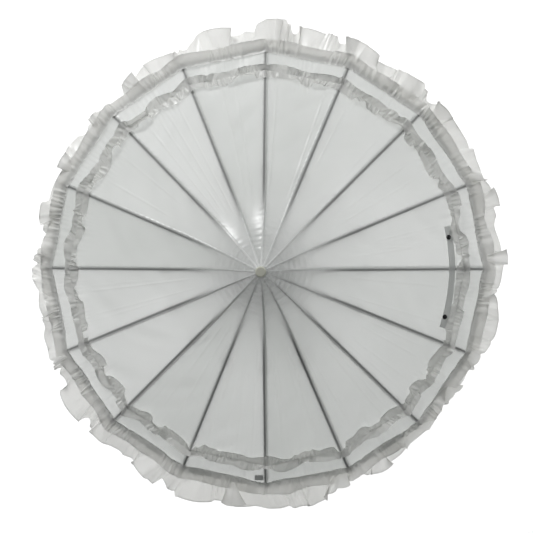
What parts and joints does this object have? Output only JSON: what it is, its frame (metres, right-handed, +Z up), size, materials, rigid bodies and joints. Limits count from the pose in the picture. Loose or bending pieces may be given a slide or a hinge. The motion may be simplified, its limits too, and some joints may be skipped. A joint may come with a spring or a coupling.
{
  "type": "pagoda parasol",
  "caption": "Open pagoda parasol with a pointed satin cover, gathered frills round its edge, folding ribs, a sliding runner and a crook handle.",
  "frame": {"origin": "on the shaft's axis at the middle of the handle's grip", "axes": "+Z up the shaft towards the ferrule, +X from the shaft towards the crook's open end and the closing strap"},
  "size_m": [0.9622, 0.9622, 0.8495],
  "materials": {
    "satin": "white polyester satin, semi-gloss",
    "rib_steel": "dark grey lacquered steel",
    "shaft_steel": "bright nickel plate",
    "hub_plastic": "white moulded nylon",
    "handle_plastic": "glossy ivory moulding",
    "cap_plastic": "cream moulding",
    "stud_black": "black enamelled brass"
  },
  "bodies": {
    "shaft": {"shaft": "shaft_steel", "top_notch": "hub_plastic", "ferrule": "shaft_steel", "ferrule_cap": "cap_plastic", "handle": "handle_plastic", "handle_collar": "shaft_steel"},
    "rib_01": {"rib_01": "rib_steel", "canopy_panel_01": "satin", "closing_strap": "satin", "snap_stud": "stud_black", "snap_socket": "stud_black"},
    "stretcher_01": {"stretcher_01": "rib_steel"},
    "rib_02": {"rib_02": "rib_steel", "canopy_panel_02": "satin"},
    "stretcher_02": {"stretcher_02": "rib_steel"},
    "rib_03": {"rib_03": "rib_steel", "canopy_panel_03": "satin"},
    "stretcher_03": {"stretcher_03": "rib_steel"},
    "rib_04": {"rib_04": "rib_steel", "canopy_panel_04": "satin"},
    "stretcher_04": {"stretcher_04": "rib_steel"},
    "rib_05": {"rib_05": "rib_steel", "canopy_panel_05": "satin"},
    "stretcher_05": {"stretcher_05": "rib_steel"},
    "rib_06": {"rib_06": "rib_steel", "canopy_panel_06": "satin"},
    "stretcher_06": {"stretcher_06": "rib_steel"},
    "rib_07": {"rib_07": "rib_steel", "canopy_panel_07": "satin"},
    "stretcher_07": {"stretcher_07": "rib_steel"},
    "rib_08": {"rib_08": "rib_steel", "canopy_panel_08": "satin"},
    "stretcher_08": {"stretcher_08": "rib_steel"},
    "rib_09": {"rib_09": "rib_steel", "canopy_panel_09": "satin"},
    "stretcher_09": {"stretcher_09": "rib_steel"},
    "rib_10": {"rib_10": "rib_steel", "canopy_panel_10": "satin"},
    "stretcher_10": {"stretcher_10": "rib_steel"},
    "rib_11": {"rib_11": "rib_steel", "canopy_panel_11": "satin"},
    "stretcher_11": {"stretcher_11": "rib_steel"},
    "rib_12": {"rib_12": "rib_steel", "canopy_panel_12": "satin"},
    "stretcher_12": {"stretcher_12": "rib_steel"},
    "rib_13": {"rib_13": "rib_steel", "canopy_panel_13": "satin"},
    "stretcher_13": {"stretcher_13": "rib_steel"},
    "rib_14": {"rib_14": "rib_steel", "canopy_panel_14": "satin"},
    "stretcher_14": {"stretcher_14": "rib_steel"},
    "rib_15": {"rib_15": "rib_steel", "canopy_panel_15": "satin"},
    "stretcher_15": {"stretcher_15": "rib_steel"},
    "rib_16": {"rib_16": "rib_steel", "canopy_panel_16": "satin"},
    "stretcher_16": {"stretcher_16": "rib_steel"},
    "runner": {"runner": "hub_plastic"},
    "top_catch": {"top_catch": "shaft_steel"},
    "bottom_catch": {"bottom_catch": "shaft_steel"}
  },
  "joints": [
    {"name": "fold", "type": "hinge", "parent": "shaft", "child": "rib_01", "pos_m": [0.013, 0, 0.66], "axis": [0, 1, 0], "range_deg": [0, 75], "deforming": ["canopy_panel_01", "closing_strap", "snap_stud", "snap_socket", "top_catch", "bottom_catch"]},
    {"name": "stretcher_01_hinge", "type": "hinge", "parent": "rib_01", "child": "stretcher_01", "pos_m": [0.19813, 0, 0.61726], "axis": [0, 1, 0], "range_deg": [-150, 0]},
    {"name": "rib_02_hinge", "type": "hinge", "parent": "shaft", "child": "rib_02", "pos_m": [0.01201, 0.00497, 0.66], "axis": [-0.3827, 0.9239, 0], "range_deg": [0, 75], "deforming": ["canopy_panel_02"]},
    {"name": "stretcher_02_hinge", "type": "hinge", "parent": "rib_02", "child": "stretcher_02", "pos_m": [0.18305, 0.07582, 0.61726], "axis": [-0.3827, 0.9239, 0], "range_deg": [-150, 0]},
    {"name": "rib_03_hinge", "type": "hinge", "parent": "shaft", "child": "rib_03", "pos_m": [0.00919, 0.00919, 0.66], "axis": [-0.7071, 0.7071, 0], "range_deg": [0, 75], "deforming": ["canopy_panel_03"]},
    {"name": "stretcher_03_hinge", "type": "hinge", "parent": "rib_03", "child": "stretcher_03", "pos_m": [0.1401, 0.1401, 0.61726], "axis": [-0.7071, 0.7071, 0], "range_deg": [-150, 0]},
    {"name": "rib_04_hinge", "type": "hinge", "parent": "shaft", "child": "rib_04", "pos_m": [0.00497, 0.01201, 0.66], "axis": [-0.9239, 0.3827, 0], "range_deg": [0, 75], "deforming": ["canopy_panel_04"]},
    {"name": "stretcher_04_hinge", "type": "hinge", "parent": "rib_04", "child": "stretcher_04", "pos_m": [0.07582, 0.18305, 0.61726], "axis": [-0.9239, 0.3827, 0], "range_deg": [-150, 0]},
    {"name": "rib_05_hinge", "type": "hinge", "parent": "shaft", "child": "rib_05", "pos_m": [0, 0.013, 0.66], "axis": [-1, 0, 0], "range_deg": [0, 75], "deforming": ["canopy_panel_05"]},
    {"name": "stretcher_05_hinge", "type": "hinge", "parent": "rib_05", "child": "stretcher_05", "pos_m": [0, 0.19813, 0.61726], "axis": [-1, 0, 0], "range_deg": [-150, 0]},
    {"name": "rib_06_hinge", "type": "hinge", "parent": "shaft", "child": "rib_06", "pos_m": [-0.00497, 0.01201, 0.66], "axis": [-0.9239, -0.3827, 0], "range_deg": [0, 75], "deforming": ["canopy_panel_06"]},
    {"name": "stretcher_06_hinge", "type": "hinge", "parent": "rib_06", "child": "stretcher_06", "pos_m": [-0.07582, 0.18305, 0.61726], "axis": [-0.9239, -0.3827, 0], "range_deg": [-150, 0]},
    {"name": "rib_07_hinge", "type": "hinge", "parent": "shaft", "child": "rib_07", "pos_m": [-0.00919, 0.00919, 0.66], "axis": [-0.7071, -0.7071, 0], "range_deg": [0, 75], "deforming": ["canopy_panel_07"]},
    {"name": "stretcher_07_hinge", "type": "hinge", "parent": "rib_07", "child": "stretcher_07", "pos_m": [-0.1401, 0.1401, 0.61726], "axis": [-0.7071, -0.7071, 0], "range_deg": [-150, 0]},
    {"name": "rib_08_hinge", "type": "hinge", "parent": "shaft", "child": "rib_08", "pos_m": [-0.01201, 0.00497, 0.66], "axis": [-0.3827, -0.9239, 0], "range_deg": [0, 75], "deforming": ["canopy_panel_08"]},
    {"name": "stretcher_08_hinge", "type": "hinge", "parent": "rib_08", "child": "stretcher_08", "pos_m": [-0.18305, 0.07582, 0.61726], "axis": [-0.3827, -0.9239, 0], "range_deg": [-150, 0]},
    {"name": "rib_09_hinge", "type": "hinge", "parent": "shaft", "child": "rib_09", "pos_m": [-0.013, 0, 0.66], "axis": [0, -1, 0], "range_deg": [0, 75], "deforming": ["canopy_panel_09"]},
    {"name": "stretcher_09_hinge", "type": "hinge", "parent": "rib_09", "child": "stretcher_09", "pos_m": [-0.19813, 0, 0.61726], "axis": [0, -1, 0], "range_deg": [-150, 0]},
    {"name": "rib_10_hinge", "type": "hinge", "parent": "shaft", "child": "rib_10", "pos_m": [-0.01201, -0.00497, 0.66], "axis": [0.3827, -0.9239, 0], "range_deg": [0, 75], "deforming": ["canopy_panel_10"]},
    {"name": "stretcher_10_hinge", "type": "hinge", "parent": "rib_10", "child": "stretcher_10", "pos_m": [-0.18305, -0.07582, 0.61726], "axis": [0.3827, -0.9239, 0], "range_deg": [-150, 0]},
    {"name": "rib_11_hinge", "type": "hinge", "parent": "shaft", "child": "rib_11", "pos_m": [-0.00919, -0.00919, 0.66], "axis": [0.7071, -0.7071, 0], "range_deg": [0, 75], "deforming": ["canopy_panel_11"]},
    {"name": "stretcher_11_hinge", "type": "hinge", "parent": "rib_11", "child": "stretcher_11", "pos_m": [-0.1401, -0.1401, 0.61726], "axis": [0.7071, -0.7071, 0], "range_deg": [-150, 0]},
    {"name": "rib_12_hinge", "type": "hinge", "parent": "shaft", "child": "rib_12", "pos_m": [-0.00497, -0.01201, 0.66], "axis": [0.9239, -0.3827, 0], "range_deg": [0, 75], "deforming": ["canopy_panel_12"]},
    {"name": "stretcher_12_hinge", "type": "hinge", "parent": "rib_12", "child": "stretcher_12", "pos_m": [-0.07582, -0.18305, 0.61726], "axis": [0.9239, -0.3827, 0], "range_deg": [-150, 0]},
    {"name": "rib_13_hinge", "type": "hinge", "parent": "shaft", "child": "rib_13", "pos_m": [0, -0.013, 0.66], "axis": [1, 0, 0], "range_deg": [0, 75], "deforming": ["canopy_panel_13"]},
    {"name": "stretcher_13_hinge", "type": "hinge", "parent": "rib_13", "child": "stretcher_13", "pos_m": [0, -0.19813, 0.61726], "axis": [1, 0, 0], "range_deg": [-150, 0]},
    {"name": "rib_14_hinge", "type": "hinge", "parent": "shaft", "child": "rib_14", "pos_m": [0.00497, -0.01201, 0.66], "axis": [0.9239, 0.3827, 0], "range_deg": [0, 75], "deforming": ["canopy_panel_14"]},
    {"name": "stretcher_14_hinge", "type": "hinge", "parent": "rib_14", "child": "stretcher_14", "pos_m": [0.07582, -0.18305, 0.61726], "axis": [0.9239, 0.3827, 0], "range_deg": [-150, 0]},
    {"name": "rib_15_hinge", "type": "hinge", "parent": "shaft", "child": "rib_15", "pos_m": [0.00919, -0.00919, 0.66], "axis": [0.7071, 0.7071, 0], "range_deg": [0, 75], "deforming": ["canopy_panel_15"]},
    {"name": "stretcher_15_hinge", "type": "hinge", "parent": "rib_15", "child": "stretcher_15", "pos_m": [0.1401, -0.1401, 0.61726], "axis": [0.7071, 0.7071, 0], "range_deg": [-150, 0]},
    {"name": "rib_16_hinge", "type": "hinge", "parent": "shaft", "child": "rib_16", "pos_m": [0.01201, -0.00497, 0.66], "axis": [0.3827, 0.9239, 0], "range_deg": [0, 75], "deforming": ["canopy_panel_16"]},
    {"name": "stretcher_16_hinge", "type": "hinge", "parent": "rib_16", "child": "stretcher_16", "pos_m": [0.18305, -0.07582, 0.61726], "axis": [0.3827, 0.9239, 0], "range_deg": [-150, 0]},
    {"name": "runner_hinge", "type": "hinge", "parent": "stretcher_01", "child": "runner", "pos_m": [0.013, 0, 0.57452], "axis": [0, 1, 0], "range_deg": [0, 75]},
    {"name": "top_catch_press", "type": "hinge", "parent": "shaft", "child": "top_catch", "pos_m": [0, 0, 0.50022], "axis": [-1, 0, 0], "range_deg": [0, 6.5], "stiffness_Nm_per_rad": 0.05},
    {"name": "bottom_catch_press", "type": "hinge", "parent": "shaft", "child": "bottom_catch", "pos_m": [0, 0, 0.22373], "axis": [-1, 0, 0], "range_deg": [0, 6.5], "stiffness_Nm_per_rad": 0.05}
  ],
  "couplings": [
    {"joint": "stretcher_01_hinge", "follows": "fold", "ratio": -2},
    {"joint": "rib_02_hinge", "follows": "fold", "ratio": 1},
    {"joint": "stretcher_02_hinge", "follows": "fold", "ratio": -2},
    {"joint": "rib_03_hinge", "follows": "fold", "ratio": 1},
    {"joint": "stretcher_03_hinge", "follows": "fold", "ratio": -2},
    {"joint": "rib_04_hinge", "follows": "fold", "ratio": 1},
    {"joint": "stretcher_04_hinge", "follows": "fold", "ratio": -2},
    {"joint": "rib_05_hinge", "follows": "fold", "ratio": 1},
    {"joint": "stretcher_05_hinge", "follows": "fold", "ratio": -2},
    {"joint": "rib_06_hinge", "follows": "fold", "ratio": 1},
    {"joint": "stretcher_06_hinge", "follows": "fold", "ratio": -2},
    {"joint": "rib_07_hinge", "follows": "fold", "ratio": 1},
    {"joint": "stretcher_07_hinge", "follows": "fold", "ratio": -2},
    {"joint": "rib_08_hinge", "follows": "fold", "ratio": 1},
    {"joint": "stretcher_08_hinge", "follows": "fold", "ratio": -2},
    {"joint": "rib_09_hinge", "follows": "fold", "ratio": 1},
    {"joint": "stretcher_09_hinge", "follows": "fold", "ratio": -2},
    {"joint": "rib_10_hinge", "follows": "fold", "ratio": 1},
    {"joint": "stretcher_10_hinge", "follows": "fold", "ratio": -2},
    {"joint": "rib_11_hinge", "follows": "fold", "ratio": 1},
    {"joint": "stretcher_11_hinge", "follows": "fold", "ratio": -2},
    {"joint": "rib_12_hinge", "follows": "fold", "ratio": 1},
    {"joint": "stretcher_12_hinge", "follows": "fold", "ratio": -2},
    {"joint": "rib_13_hinge", "follows": "fold", "ratio": 1},
    {"joint": "stretcher_13_hinge", "follows": "fold", "ratio": -2},
    {"joint": "rib_14_hinge", "follows": "fold", "ratio": 1},
    {"joint": "stretcher_14_hinge", "follows": "fold", "ratio": -2},
    {"joint": "rib_15_hinge", "follows": "fold", "ratio": 1},
    {"joint": "stretcher_15_hinge", "follows": "fold", "ratio": -2},
    {"joint": "rib_16_hinge", "follows": "fold", "ratio": 1},
    {"joint": "stretcher_16_hinge", "follows": "fold", "ratio": -2},
    {"joint": "runner_hinge", "follows": "fold", "ratio": 1}
  ]
}
